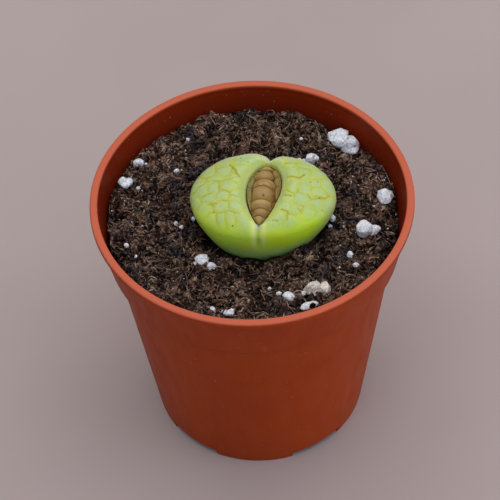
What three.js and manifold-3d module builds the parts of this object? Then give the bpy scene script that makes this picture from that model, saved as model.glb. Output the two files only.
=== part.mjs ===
// A potted lithops in a small nursery pot, in millimetres, +Z up.
// The origin is the centre of the circle that the pot's feet stand on.
import * as THREE from 'three';
import { mergeVertices } from 'three/addons/utils/BufferGeometryUtils.js';
import Module from 'manifold-3d';

const wasm = await Module();
wasm.setup();

// ---- Driving dimensions ----

const CLEARANCE = 0.35; // between pieces that touch

const POT = {
  height: 51, rimRadius: 27.5, mouthRadius: 26.15, lipDepth: 1.1, lipRound: 0.4,
  collarTopRadius: 27, collarBottomRadius: 25.25, stepHeight: 40.6, stepDrop: 0.7,
  wallTopRadius: 24.15, baseRadius: 18.95, wall: 0.85,
  footHeight: 1.6, footWidth: 1.5, floorThickness: 0.9, edgeBreak: 0.3, segments: 56,
};
const DRAIN = {
  count: 5, firstAngle: -131.5, notchWidth: 9.8, notchHeight: 1.4,
  holeRadius: 2.2, holeCircle: 13.6, centreHoleRadius: 2.6, sides: 20,
};
const SOIL = { level: 45.2, edgeRise: 22.5, edgeDrop: 1.4, segments: 48, rings: 12 };
// The soil's lumps are the sum of these sine waves: height, turn per mm along x and y, and shift.
const SOIL_WAVES = [[0.2, 0.9, 0.8, 0.9], [0.2, 0.9, -0.8, 1.7], [0.3, 1.7, -0.8, 2], [0.2, 1.1, 2.1, 2.1]];

// The plant stands at (x, y), turned about +Z, and is widest at height z.
const PLANT = { x: 1.9, y: -0.8, z: 51.3, turn: -6 };
// The old leaf pair at its widest level: half its width, its reach to the back and to the front, and
// how much the front is skewed. The dome is its height above that level.
const OLD = {
  across: 12.35, back: 9.6, front: 9, skew: 0.1, dome: 4.3, roundness: 2.1, around: 120, steps: 18,
};
// Half width of the fissure's opening, its reach to the back and to the front, its middle line with
// a lean to the right in the back that is less beyond the bend in front, and the lips' fall.
const FISSURE = {
  halfWidth: 3.05, back: 6, front: 8, middle: 0.2, lean: 0.085, bend: -3, frontLean: 0.035,
  lipFall: 1.3, lipWidth: 2.4, floor: -2.6,
};
const NET = { groove: 0.28, grooveWidth: 0.55, island: 0.15, islandEdge: 1.1 };
const GROOVE = { depth: 0.35, width: 0.45, backNotch: 1.2, notchWidth: 2 };

// Lower body of the old leaf pair, widest level downwards: depth, half width, reach to the front.
const FLANK = [
  [-0.9, 12.23, 8.95], [-2.1, 11.86, 8.8], [-3.8, 11.1, 8.5], [-5.8, 10, 8],
  [-8, 8.6, 7.1], [-10.5, 6.8, 5.7], [-13, 4.7, 4.1], [-15, 2.7, 2.5],
  [-18, 1.5, 1.5], [-23, 1, 1], [-26.4, 0.55, 0.55],
];
const ROOT_TIP = -27;

// Islands of the net, as rows along the fissure: place along it, then places across it.
const ISLAND_ROWS = [
  [5.6, [-6.4, -4, 2.6, 4.4, 6.6]],
  [3, [-9.4, -6.5, -4.2, 4.9, 7, 8.6]],
  [1.2, [-11, -8.6, -4.6, 3.8, 8.8, 10.6]],
  [-0.6, [-10, -8.2, -5.6, 5.2, 7, 9.3]],
  [-2.6, [-11.4, -9, -6.8, -4, 4, 6.6, 9.1, 11.2]],
  [-4.8, [-9.3, -6.7, -4, 4.2, 6, 7.8, 9.8]],
  [-6.6, [-8, -6.6, -5, -3.4, 3.5, 5.2, 7.4]],
];
// Cells of the young leaves, from the back: place along, then places across.
const CELL_ROWS = [
  [4.8, [0.3]], [3.1, [-1.6, 0.1, 2.1]], [0.9, [-2.1, 0.3, 2.5]],
  [-1.4, [-2.2, 0, 2.4]], [-3.7, [-2.1, 0, 2]], [-5.2, [0, 1.4]], [-6.5, [-0.3]],
];
const YOUNG = {
  back: 5.4, front: 7.2, sink: 0.45, crown: 0.6, cell: 0.34, cellEdge: 0.5,
  split: -2.8, splitDepth: 0.4, splitWidth: 0.3, stations: 34, topPoints: 13,
};

// Perlite grains, each a list of lobes: x, y, half sizes along x, y and z, and the turn about +Z.
const GRAINS = [
  [[15.6, 16.8, 2.1, 2, 2, 0], [17.6, 14.7, 1.85, 2, 2.1, 20]],
  [[10.7, 12.5, 1.5, 1.1, 1.1, 20]],
  [[22.9, 2.7, 1.5, 1.6, 1.6, 0]],
  [[18.7, -4.3, 1.4, 1.9, 1.8, 0], [20.3, -4.1, 1.1, 1.3, 1, -50]],
  [[16.1, -9.2, 0.7, 0.8, 0.7, 30]],
  [[16.9, -11.9, 0.7, 0.55, 0.5, 0]],
  [[13.6, -1.4, 0.6, 0.9, 0.75, 0]],
  [[9.5, -16.5, 1.6, 1.6, 1.75, 0], [11.3, -16.5, 1.25, 1.45, 1.45, 0]],
  [[5.3, -17.9, 1.35, 0.8, 0.85, -35]],
  [[3.7, -16.9, 0.65, 0.5, 0.5, 0]],
  [[8.6, -19.9, 1.65, 0.8, 0.7, 20]],
  [[-4.8, -20.1, 1.35, 0.8, 0.75, 0]],
  [[-7.4, -19, 0.75, 0.8, 0.7, 0]],
  [[-8.8, -8.9, 1.3, 1.25, 1.2, 20], [-7.4, -10.1, 1, 1.15, 1.05, 0]],
  [[-19.5, 13.4, 1.05, 0.9, 0.85, 0]],
  [[-22.2, 8.9, 1, 0.9, 0.85, 0], [-21.1, 9.2, 0.9, 0.9, 0.85, 20], [-21.7, 8.3, 0.9, 0.9, 0.75, 0]],
  [[-10.7, 19, 0.5, 0.7, 0.6, 0]],
  [[-21.6, -4.7, 0.65, 0.5, 0.5, -40]],
  [[22.8, 7.2, 0.5, 0.5, 0.45, 0]],
  [[-10.2, 0.9, 0.5, 0.55, 0.5, 0]],
  [[9.2, 18, 0.45, 0.45, 0.4, 0]],
];
const GRAIN = { lift: 0.4, roughness: 0.09, plainBelow: 0.68 };

// ---- Small helpers ----

const { clamp, degToRad, smoothstep } = THREE.MathUtils;

function toManifold(geometry) {
  const bare = geometry.clone();
  bare.deleteAttribute('normal');
  bare.deleteAttribute('uv');
  const merged = mergeVertices(bare, 1e-4);
  return new wasm.Manifold(new wasm.Mesh({
    numProp: 3,
    vertProperties: new Float32Array(merged.attributes.position.array),
    triVerts: new Uint32Array(merged.index.array),
  }));
}

function toGeometry(manifold) {
  const mesh = manifold.getMesh();
  const geometry = new THREE.BufferGeometry();
  geometry.setAttribute('position', new THREE.BufferAttribute(mesh.vertProperties, 3));
  geometry.setIndex(new THREE.BufferAttribute(mesh.triVerts, 1));
  geometry.computeVertexNormals();
  return geometry;
}

// A closed surface through rings of points, each counter-clockwise seen from above and each
// with as many points as the one before, half or twice as many. The ends close on a point.
function closeRings(firstPole, rings, lastPole) {
  const points = [firstPole, ...rings.flat(), lastPole];
  const starts = [];
  let next = 1;
  for (const ring of rings) {
    starts.push(next);
    next += ring.length;
  }
  const faces = [];
  const fan = (pole, start, count, upwards) => {
    for (let i = 0; i < count; i++) {
      const a = start + i;
      const b = start + ((i + 1) % count);
      faces.push(...(upwards ? [a, b, pole] : [b, a, pole]));
    }
  };
  fan(0, starts[0], rings[0].length, false);
  for (let k = 0; k + 1 < rings.length; k++) {
    const lower = rings[k].length;
    const upper = rings[k + 1].length;
    const steps = Math.max(lower, upper);
    for (let i = 0; i < steps; i++) {
      const a = starts[k] + Math.floor(i * lower / steps);
      const b = starts[k] + Math.floor((i + 1) * lower / steps) % lower;
      const c = starts[k + 1] + Math.floor(i * upper / steps);
      const d = starts[k + 1] + Math.floor((i + 1) * upper / steps) % upper;
      if (a !== b) faces.push(a, b, d);
      if (c !== d) faces.push(a, d, c);
    }
  }
  fan(points.length - 1, starts.at(-1), rings.at(-1).length, true);
  const geometry = new THREE.BufferGeometry().setFromPoints(points);
  geometry.setIndex(faces);
  return geometry;
}

function circlePoints(count, radiusX, radiusY, z) {
  return Array.from({ length: count }, (_, i) => {
    const angle = i / count * 2 * Math.PI;
    return new THREE.Vector3(radiusX * Math.cos(angle), radiusY * Math.sin(angle), z);
  });
}

// From the plant's own frame to the object's frame.
const plantPlace = new THREE.Matrix4()
  .makeRotationZ(degToRad(PLANT.turn))
  .setPosition(PLANT.x, PLANT.y, PLANT.z);

// ---- Pot ----

function potGeometry() {
  const p = POT;
  const lipBottom = p.height - p.lipDepth;
  const footInner = p.baseRadius - p.footWidth;
  const floorTop = p.footHeight + p.floorThickness;
  const profile = [
    [0, p.footHeight],
    [footInner, p.footHeight],
    [footInner, 0],
    [p.baseRadius - p.edgeBreak, 0],
    [p.baseRadius, p.edgeBreak],
    [p.wallTopRadius, p.stepHeight - p.stepDrop],
    [p.collarBottomRadius, p.stepHeight],
    [p.collarTopRadius, lipBottom],
    [p.rimRadius, lipBottom + p.lipRound],
    [p.rimRadius, p.height - p.lipRound],
    [p.rimRadius - p.lipRound, p.height],
    [p.mouthRadius + p.lipRound, p.height],
    [p.mouthRadius, p.height - p.lipRound],
    [p.collarTopRadius - p.wall, lipBottom],
    [p.collarBottomRadius - p.wall, p.stepHeight],
    [p.wallTopRadius - p.wall, p.stepHeight - p.stepDrop],
    [wallInnerRadius(floorTop), floorTop],
    [0, floorTop],
  ].map(([radius, z]) => new THREE.Vector2(radius, z));
  const shell = new THREE.LatheGeometry(profile, p.segments).rotateX(Math.PI / 2);
  let pot = toManifold(shell);
  const centreHole = new THREE.CylinderGeometry(
    DRAIN.centreHoleRadius, DRAIN.centreHoleRadius, 2 * floorTop, DRAIN.sides);
  pot = pot.subtract(toManifold(centreHole.rotateX(Math.PI / 2)));
  for (let i = 0; i < DRAIN.count; i++) {
    const angle = degToRad(DRAIN.firstAngle + i * 360 / DRAIN.count);
    const notch = new THREE.BoxGeometry(p.baseRadius, DRAIN.notchWidth, 2 * DRAIN.notchHeight)
      .translate(p.baseRadius, 0, 0)
      .rotateZ(angle);
    const hole = new THREE.CylinderGeometry(
      DRAIN.holeRadius, DRAIN.holeRadius, 2 * floorTop, DRAIN.sides)
      .rotateX(Math.PI / 2)
      .translate(DRAIN.holeCircle, 0, 0)
      .rotateZ(angle);
    pot = pot.subtract(toManifold(notch)).subtract(toManifold(hole));
  }
  return toGeometry(pot);
}

// Radius of the inside of the tapering wall at a height below the step.
function wallInnerRadius(z) {
  const share = z / (POT.stepHeight - POT.stepDrop);
  return THREE.MathUtils.lerp(POT.baseRadius, POT.wallTopRadius, share) - POT.wall;
}

// Radius of the inside of the collar at a height above the step.
function collarInnerRadius(z) {
  const share = (z - POT.stepHeight) / (POT.height - POT.lipDepth - POT.stepHeight);
  return THREE.MathUtils.lerp(POT.collarBottomRadius, POT.collarTopRadius, share) - POT.wall;
}

// ---- Soil ----

// Height of the lumpy soil, which rises to the pot's wall at the back and left, and falls in front.
function soilHeight(x, y) {
  const lumps = SOIL_WAVES.reduce((sum, [height, alongX, alongY, shift]) => (
    sum + height * Math.sin(alongX * x + alongY * y + shift)), 0);
  const fall = SOIL.edgeDrop * smoothstep(Math.hypot(x, y), SOIL.edgeRise, collarInnerRadius(SOIL.level));
  return SOIL.level + lumps - fall * (0.15 - 0.85 * Math.tanh((y - 2 + 0.4 * Math.max(0, -x)) / 6));
}

function soilSolid() {
  const bottom = POT.footHeight + POT.floorThickness + CLEARANCE;
  const underStep = POT.stepHeight - POT.stepDrop;
  const edge = collarInnerRadius(SOIL.level - SOIL.edgeDrop) - CLEARANCE;
  const n = SOIL.segments;
  const rings = [
    [wallInnerRadius(bottom) - CLEARANCE, bottom],
    [wallInnerRadius(underStep) - CLEARANCE, underStep + CLEARANCE],
    [collarInnerRadius(POT.stepHeight) - CLEARANCE, POT.stepHeight + CLEARANCE],
  ].map(([radius, z]) => circlePoints(n, radius, radius, z));
  for (let k = 0; k < SOIL.rings; k++) {
    const radius = edge * (1 - k / SOIL.rings);
    const count = radius > edge / 2 ? n : n / 2;
    const ring = circlePoints(count, radius, radius, 0);
    for (const point of ring) point.z = soilHeight(point.x, point.y);
    rings.push(ring);
  }
  const floorCentre = new THREE.Vector3(0, 0, bottom);
  const topCentre = new THREE.Vector3(0, 0, soilHeight(0, 0));
  return toManifold(closeRings(floorCentre, rings, topCentre));
}

// ---- Old leaf pair ----

// Half width of the fissure's opening at a place along it: blunt at the back, pointed in front.
function fissureHalfWidth(y) {
  const back = Math.pow(clamp(1 - Math.pow(Math.abs(y) / FISSURE.back, 2.2), 0, 1), 0.62);
  const front = 1 - Math.min(1, Math.abs(y) / FISSURE.front) ** 2;
  return FISSURE.halfWidth * (y > 0 ? back : front);
}

// Where the fissure's middle line runs at a place along it.
function fissureMiddle(y) {
  const ahead = Math.min(0, y - FISSURE.bend);
  return FISSURE.middle + FISSURE.lean * (y - ahead) + FISSURE.frontLean * ahead;
}

// How far out a place is: 0 in the middle, 1 on the widest outline.
function reachAt(x, y) {
  return Math.hypot(x / OLD.across, y / (y > 0 ? OLD.back : OLD.front - OLD.skew * x));
}

// A ring of the old pair's body: longer behind than in front, and skewed in front.
function bodyRing(count, across, front, z) {
  return Array.from({ length: count }, (_, i) => {
    const angle = i / count * 2 * Math.PI;
    const x = across * Math.cos(angle);
    const along = angle < Math.PI ? front * OLD.back / OLD.front : front - OLD.skew * x;
    return new THREE.Vector3(x, along * Math.sin(angle), z);
  });
}

// Height of the dome over the widest level, curving down to the fissure and its closed ends.
function domeHeight(x, y) {
  const rise = Math.max(0, 1 - reachAt(x, y) ** OLD.roundness) ** (1 / OLD.roundness);
  const away = Math.max(0, Math.abs(x - fissureMiddle(y)) - fissureHalfWidth(y));
  const lip = Math.max(0, 1 - away / FISSURE.lipWidth) ** 2;
  return OLD.dome * rise - FISSURE.lipFall * lip * rise ** 0.5;
}

// Half a triangle wave: -1 in front, 1 at the back, even steps between.
function alongShare(angle) {
  return 2 / Math.PI * Math.asin(Math.sin(angle));
}

function fissurePoint(angle) {
  const share = alongShare(angle);
  const y = share * (share > 0 ? FISSURE.back : FISSURE.front);
  return new THREE.Vector2(fissureMiddle(y) + Math.sign(Math.cos(angle)) * fissureHalfWidth(y), y);
}

function rowPoints(rows, height) {
  return rows.flatMap(([y, places]) => places.map((x) => new THREE.Vector3(x, y, height(x, y))));
}

const islandCentres = rowPoints(ISLAND_ROWS, domeHeight);

// Distances to the nearest and the second nearest centre, and a fixed draw for that pair.
function nearestPair(point, centres) {
  let first = Infinity;
  let second = Infinity;
  let firstIndex = 0;
  let secondIndex = 0;
  centres.forEach((centre, index) => {
    const distance = centre.distanceTo(point);
    if (distance < first) {
      [second, secondIndex] = [first, firstIndex];
      [first, firstIndex] = [distance, index];
    } else if (distance < second) {
      [second, secondIndex] = [distance, index];
    }
  });
  const draw = Math.sin(12.9898 * (firstIndex + secondIndex) + 78.233 * firstIndex * secondIndex);
  return { gap: second - first, draw: Math.abs(draw) };
}

// The net: raised islands with grooves of uneven depth between them, on the face only.
function netRelief(point) {
  const { gap, draw } = nearestPair(point, islandCentres);
  const away = Math.abs(point.x - fissureMiddle(point.y)) - fissureHalfWidth(point.y);
  const face = smoothstep(point.z, 0.2, 1.6) * smoothstep(away, 0.3, 1.1);
  const groove = Math.exp(-((gap / NET.grooveWidth) ** 2)) * (0.35 + 0.65 * draw);
  const island = 1 - Math.exp(-((gap / NET.islandEdge) ** 2));
  return face * (NET.island * island - NET.groove * groove);
}

// How far the flank is drawn in along the closed line where the two leaves meet.
function seamDepth(x, y, z) {
  const away = Math.abs(x - fissureMiddle(y));
  const fade = smoothstep(z, -4.5, -1) * smoothstep(reachAt(x, y), 0.66, 0.92);
  const notch = y > 0 ? GROOVE.backNotch * Math.exp(-away / GROOVE.notchWidth) : 0;
  return fade * (GROOVE.depth * Math.exp(-((away / GROOVE.width) ** 2)) + notch);
}

// Points in a ring of the lower body: fewer further down, where it is slimmer.
function ringCount(z) {
  if (z > -4) return OLD.around;
  if (z > -12) return OLD.around / 2;
  return z > -17 ? OLD.around / 4 : OLD.around / 12;
}

function oldLeafRings() {
  const { around, steps } = OLD;
  const rings = FLANK.toReversed().map(([z, across, front]) => (
    bodyRing(ringCount(z), across, front, z)));
  const wide = bodyRing(around, OLD.across, OLD.front, 0);
  for (let k = 0; k < steps; k++) {
    const share = Math.cos(k / steps * Math.PI / 2) ** 0.9;
    rings.push(wide.map((outer, i) => {
      const inner = fissurePoint(i / around * 2 * Math.PI);
      const x = THREE.MathUtils.lerp(inner.x, outer.x, share);
      const y = THREE.MathUtils.lerp(inner.y, outer.y, share);
      const z = k === 0 ? 0 : domeHeight(x, y);
      return new THREE.Vector3(x, y, z);
    }));
  }
  for (const ring of rings) {
    for (const point of ring) {
      const seam = seamDepth(point.x, point.y, point.z);
      const length = Math.hypot(point.x, point.y);
      const relief = netRelief(point);
      const outward = clamp(1 - point.z / OLD.dome, 0, 1);
      point.x += point.x / length * relief * outward;
      point.y += point.y / length * relief * outward - Math.sign(point.y) * seam;
      point.z += relief * (1 - outward);
    }
  }
  for (const [share, narrowing] of [[0, 0], [0.1, 0.03], [0.4, 0.1], [1, 0.45]]) {
    rings.push(Array.from({ length: around }, (_, i) => {
      const edge = fissurePoint(i / around * 2 * Math.PI);
      const x = THREE.MathUtils.lerp(edge.x, fissureMiddle(edge.y), narrowing);
      const z = THREE.MathUtils.lerp(domeHeight(edge.x, edge.y), FISSURE.floor, share);
      return new THREE.Vector3(x, edge.y * (1 - narrowing / 4), z);
    }));
  }
  return rings;
}

function oldLeafGeometry() {
  const rootTip = new THREE.Vector3(0, 0, ROOT_TIP);
  const cleftFloor = new THREE.Vector3(0, 0, FISSURE.floor);
  return closeRings(rootTip, oldLeafRings(), cleftFloor).applyMatrix4(plantPlace);
}

// The plain hole that the lower body and the root stand in.
function plantHole() {
  const rings = FLANK.toReversed().map(([z, across, front]) => (
    bodyRing(ringCount(Math.min(z, -6)), across + CLEARANCE, front + CLEARANCE, z)));
  const below = new THREE.Vector3(0, 0, ROOT_TIP - CLEARANCE);
  const above = new THREE.Vector3(0, 0, 0);
  return toManifold(closeRings(below, rings, above).applyMatrix4(plantPlace));
}

// ---- New leaf pair ----

const cellCentres = rowPoints(CELL_ROWS, () => 0);

// Swollen cells with narrow furrows between them; a cell in the middle is wider than it is long.
function cellRelief(x, y) {
  const { gap } = nearestPair(new THREE.Vector3(x * 0.85, y, 0), cellCentres);
  return YOUNG.cell * (1 - Math.exp(-((gap / YOUNG.cellEdge) ** 2)));
}

// A loft along the fissure: each section has a crowned top with relief and a narrowing underside.
function newLeafGeometry() {
  const rings = [];
  for (let k = 1; k < YOUNG.stations; k++) {
    const share = Math.cos(k / YOUNG.stations * Math.PI);
    const y = share < 0 ? -share * YOUNG.back : -share * YOUNG.front;
    rings.push(youngSection(y));
  }
  const [frontTip, backTip] = [-YOUNG.front, YOUNG.back].map((y) => (
    new THREE.Vector3(fissureMiddle(y), y, youngBrim(y) - CLEARANCE)));
  return closeRings(frontTip, rings, backTip).applyMatrix4(plantPlace);
}

// Height of the young pair's edge, a little below the lips.
function youngBrim(y) {
  return domeHeight(fissureMiddle(y) + fissureHalfWidth(y), y) - YOUNG.sink;
}

function youngSection(y) {
  const wide = fissureHalfWidth(y + Math.sign(y) * CLEARANCE);
  const half = Math.max(0.12, 0.96 * wide - CLEARANCE);
  const middle = fissureMiddle(y);
  const brim = youngBrim(y);
  const split = YOUNG.splitDepth * Math.exp(-(((y - YOUNG.split) / YOUNG.splitWidth) ** 2));
  const section = [];
  for (let i = 0; i < YOUNG.topPoints; i++) {
    const across = i / (YOUNG.topPoints - 1) * 2 - 1;
    const x = middle + half * across;
    const crown = YOUNG.crown * (1 - across ** 2) * half / FISSURE.halfWidth;
    const z = brim + crown + (1 - across ** 4) * (cellRelief(x, y) - split);
    section.push(new THREE.Vector3(x, y, z));
  }
  const floor = Math.min(brim - 0.3, FISSURE.floor + CLEARANCE + 0.04 * y * y);
  for (const [across, drop] of [[0.94, 0.35], [0.55, 0.97], [-0.55, 0.97], [-0.94, 0.35]]) {
    section.push(new THREE.Vector3(middle + half * across, y, THREE.MathUtils.lerp(brim, floor, drop)));
  }
  return section;
}

// ---- Perlite ----

// One grain, its lobes joined; grown makes every lobe that much larger for the grain's pocket.
function grainSolid(lobes, seed, grown = 0) {
  let grain = null;
  lobes.forEach(([x, y, halfX, halfY, halfZ, turn], index) => {
    const detail = halfX < GRAIN.plainBelow ? 0 : 1;
    const lobe = new THREE.IcosahedronGeometry(1, detail);
    const position = lobe.attributes.position;
    const shift = seed * 1.7 + index;
    for (let i = 0; i < position.count; i++) {
      const direction = new THREE.Vector3().fromBufferAttribute(position, i);
      const bumps = Math.sin(3.1 * direction.x + shift)
        + Math.sin(4.3 * direction.y + 1.7 * shift)
        + Math.sin(5.2 * direction.z + 2.3 * shift);
      const size = 1 + GRAIN.roughness * (bumps - 1);
      position.setXYZ(i,
        direction.x * (halfX * size + grown),
        direction.y * (halfY * size + grown),
        direction.z * (halfZ * size + grown));
    }
    lobe.rotateZ(degToRad(turn));
    lobe.translate(x, y, soilHeight(x, y) + GRAIN.lift * halfZ);
    const solid = toManifold(lobe);
    grain = grain ? grain.add(solid) : solid;
  });
  return grain;
}

// ---- The object ----

function addPiece(group, name, geometry, color, roughness) {
  const material = new THREE.MeshStandardMaterial({ color, roughness, metalness: 0 });
  const mesh = new THREE.Mesh(geometry, material);
  mesh.name = name;
  group.add(mesh);
}

function pottedLithops() {
  const group = new THREE.Group();
  let soil = soilSolid().subtract(plantHole());
  GRAINS.forEach((lobes, index) => {
    soil = soil.subtract(grainSolid(lobes, index, CLEARANCE));
  });
  addPiece(group, 'pot', potGeometry(), 0x8c3a1e, 0.45);
  addPiece(group, 'soil', toGeometry(soil), 0x33231c, 0.95);
  addPiece(group, 'old_leaf_pair', oldLeafGeometry(), 0xb9c86a, 0.5);
  addPiece(group, 'new_leaf_pair', newLeafGeometry(), 0xb08a52, 0.5);
  GRAINS.forEach((lobes, index) => {
    const name = `perlite_${String(index + 1).padStart(2, '0')}`;
    addPiece(group, name, toGeometry(grainSolid(lobes, index)), 0xe8e8e6, 0.9);
  });
  return group;
}

export default pottedLithops();
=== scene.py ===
"""A potted lithops: an old leaf pair parting over a new one, in peat with perlite, in a nursery pot.

Sizes are in millimetres, +Z up, with the origin at the centre of the circle that the pot stands on.
They become metres where a mesh is made.
"""

import itertools
import math

import bmesh
import bpy
import numpy as np
from mathutils import Matrix, Vector


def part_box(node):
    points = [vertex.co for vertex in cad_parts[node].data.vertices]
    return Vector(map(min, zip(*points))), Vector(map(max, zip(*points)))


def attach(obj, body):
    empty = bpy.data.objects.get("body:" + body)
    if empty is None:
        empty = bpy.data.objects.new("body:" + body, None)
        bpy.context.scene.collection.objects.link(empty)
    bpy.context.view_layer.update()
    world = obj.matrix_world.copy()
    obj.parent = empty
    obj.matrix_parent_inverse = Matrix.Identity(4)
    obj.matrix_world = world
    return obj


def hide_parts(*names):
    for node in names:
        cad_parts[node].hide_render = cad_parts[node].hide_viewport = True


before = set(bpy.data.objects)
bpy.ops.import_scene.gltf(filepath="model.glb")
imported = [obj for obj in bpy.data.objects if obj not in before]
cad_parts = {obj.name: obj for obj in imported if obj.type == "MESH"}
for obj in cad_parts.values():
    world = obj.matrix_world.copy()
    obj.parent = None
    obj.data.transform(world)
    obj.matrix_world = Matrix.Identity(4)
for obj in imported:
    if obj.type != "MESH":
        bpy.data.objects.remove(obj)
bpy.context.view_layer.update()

MM = 0.001

# ---- Sizes and places ----

# The pot: its rim, lip, collar, the step under the collar, the tapering wall, and the feet.
RIM_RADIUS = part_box("pot")[1][0] / MM
POT_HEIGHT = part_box("pot")[1][2] / MM
MOUTH_RADIUS = 26.15
LIP_DEPTH = 1.1
COLLAR_TOP_RADIUS = 27.0
COLLAR_BOTTOM_RADIUS = 25.25
STEP_HEIGHT = 40.6
STEP_DROP = 0.7
WALL_TOP_RADIUS = 24.15
BASE_RADIUS = 18.95
WALL = 0.85
FOOT_HEIGHT = 1.6
FOOT_WIDTH = 1.5
FLOOR_THICKNESS = 0.9

# The notches between the feet, with their angles in degrees, and the drain holes.
NOTCH_COUNT = 5
NOTCH_FIRST_ANGLE = -131.5
NOTCH_WIDTH = 9.8
NOTCH_HEIGHT = 1.4
HOLE_RADIUS = 2.2
HOLE_CIRCLE = 13.6
CENTRE_HOLE_RADIUS = 2.6

# The soil's level, and how far out its edge starts to fall or rise, and by how much.
SOIL_LEVEL = 45.2
SOIL_EDGE_RISE = 22.5
SOIL_EDGE_DROP = 1.4
# How far from the axis loose pieces lie on the soil, and how wide its clods, crumbs and grit are.
SOIL_REACH = 24.7
CLOD_SIZE = 2.9
CRUMB_SIZE = 1.15
GRIT_SIZE = 0.55
# The soil's lumps are the sum of these sine waves: height, turn per mm along x and y, and shift.
SOIL_WAVES = [(0.2, 0.9, 0.8, 0.9), (0.2, 0.9, -0.8, 1.7), (0.3, 1.7, -0.8, 2), (0.2, 1.1, 2.1, 2.1)]
# The gap between pieces that touch.
CLEARANCE = 0.35

# The plant's own frame: where it stands, its widest level, and its turn about +Z in degrees.
PLANT_PLACE = np.array([1.9, -0.8, 51.3])
PLANT_TURN = -6
# The old leaf pair at its widest level: half its width, its reach to the back and to the front, and
# how much the front is skewed. The dome is its height above that level.
OLD_ACROSS = 12.35
OLD_BACK = 9.6
OLD_FRONT = 9.0
OLD_SKEW = 0.1
OLD_DOME = 4.3
OLD_ROUNDNESS = 2.1
# Half width of the opening between the old leaves, its reach to the back and to the front, its middle
# line, with a lean to the right in the back that is less beyond the bend in front, and its floor. The
# face falls that far to the opening's lips, over that width.
FISSURE_HALF_WIDTH = 3.05
FISSURE_BACK = 6.0
FISSURE_FRONT = 7.5
FISSURE_MIDDLE = 0.2
FISSURE_LEAN = 0.085
FISSURE_BEND = -3.0
FISSURE_FRONT_LEAN = 0.035
FISSURE_FLOOR = -2.6
LIP_FALL = 1.3
LIP_WIDTH = 2.4
# The groove where the two leaves meet on the flank, and the wider notch behind.
GROOVE_DEPTH = 0.35
GROOVE_WIDTH = 0.45
BACK_NOTCH_DEPTH = 1.2
BACK_NOTCH_WIDTH = 2

# The old pair's lower body: height, half width, reach to the front.
FLANK = np.array([
    [0, 12.35, 9], [-0.9, 12.23, 8.95], [-2.1, 11.86, 8.8], [-3.8, 11.1, 8.5], [-5.8, 10, 8],
    [-8, 8.6, 7.1], [-10.5, 6.8, 5.7], [-13, 4.7, 4.1], [-15, 2.7, 2.5], [-18, 1.5, 1.5],
    [-23, 1, 1], [-26.4, 0.55, 0.55],
])
ROOT_TIP = -27

# Islands of the net, as rows along the fissure: place along it, then places across it.
ISLAND_ROWS = [
    (5.6, (-6.4, -4, 2.6, 4.4, 6.6)),
    (3, (-9.4, -6.5, -4.2, 4.9, 7, 8.6)),
    (1.2, (-11, -8.6, -4.6, 3.8, 8.8, 10.6)),
    (-0.6, (-10, -8.2, -5.6, 5.2, 7, 9.3)),
    (-2.6, (-11.4, -9, -6.8, -4, 4, 6.6, 9.1, 11.2)),
    (-4.8, (-9.3, -6.7, -4, 4.2, 6, 7.8, 9.8)),
    (-6.6, (-8, -6.6, -5, -3.4, 3.5, 5.2, 7.4)),
]
# The deepest lines of the net, from point to point across and along: strength, then the points.
NET_LINES = [
    (1.0, (-5.8, 4.4), (-3.9, 1.3)),
    (0.5, (-10.2, 1.2), (-7.2, 0.5), (-3.9, 1.3)),
    (0.6, (-7.3, 0.3), (-7.1, -1.8)),
    (0.6, (-8.4, 4.3), (-8.0, 3.6), (-6.9, 4.1)),
    (0.7, (-9.9, -2.1), (-8.6, -2.0)),
    (0.7, (-8.7, -3.9), (-7.4, -4.1)),
    (0.5, (-5.4, -2.6), (-4.0, -3.0)),
    (0.5, (-5.4, -5.6), (-3.4, -6.2)),
    (1.0, (4.0, 2.0), (6.1, 1.6), (6.9, 2.6)),
    (0.6, (3.6, 5.0), (5.5, 5.4)),
    (0.9, (3.7, -2.2), (4.9, -2.5)),
    (0.6, (7.6, -1.6), (8.2, -2.5), (10.6, -1.5)),
    (0.8, (3.4, -5.2), (4.5, -5.4), (4.5, -6.6)),
    (0.6, (6.2, -4.6), (6.9, -5.2)),
    (0.7, (2.1, -6.9), (3.0, -7.0)),
]
# Dark dots on the old leaves' skin: across, along, radius.
SKIN_DOTS = [(-2.8, 4.9, 0.13), (-4.1, 6.2, 0.15), (-7.8, -5.5, 0.16), (2.9, 6.5, 0.14), (8.0, 1.0, 0.14),
             (9.2, 1.5, 0.13), (9.6, -1.8, 0.14), (8.6, -6.0, 0.13), (-4.5, -7.9, 0.15)]

# Cells of the new leaves: place across and along, half sizes, height, how green and how light.
NEW_CELLS = [
    (0.25, 4.8, 1.25, 0.6, 0.36, 0.15, 0.9), (0.05, 2.9, 1.6, 1.2, 0.54, 0.1, 0.65),
    (0.2, 0.55, 1.75, 1.32, 0.60, 0.0, 0.75), (0.0, -1.4, 1.85, 1.68, 0.68, 0.1, 0.6),
    (2.0, 3.6, 0.75, 1.05, 0.40, 0.2, 0.3), (2.5, 1.6, 0.75, 1.15, 0.42, 0.25, 0.25),
    (2.65, -0.8, 0.65, 1.5, 0.40, 0.3, 0.1), (-1.65, 3.6, 0.5, 0.75, 0.30, 0.8, 0.2),
    (-2.1, 1.5, 0.7, 1.3, 0.40, 0.9, 0.3), (-2.2, -1.5, 0.75, 1.5, 0.44, 0.8, 0.3),
]
FRONT_CELLS = [
    (-0.05, -3.55, 1.8, 1.0, 0.62, 0.05, 0.85), (-2.15, -3.75, 0.6, 0.95, 0.40, 0.6, 0.45),
    (2.0, -3.6, 0.5, 0.75, 0.32, 0.0, 0.0), (-0.05, -5.15, 1.55, 0.78, 0.60, 0.0, 0.5),
    (1.25, -5.8, 0.5, 0.7, 0.30, 0.2, 0.1), (-0.35, -6.5, 1.1, 1.0, 0.52, 0.25, 0.75),
]
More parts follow.
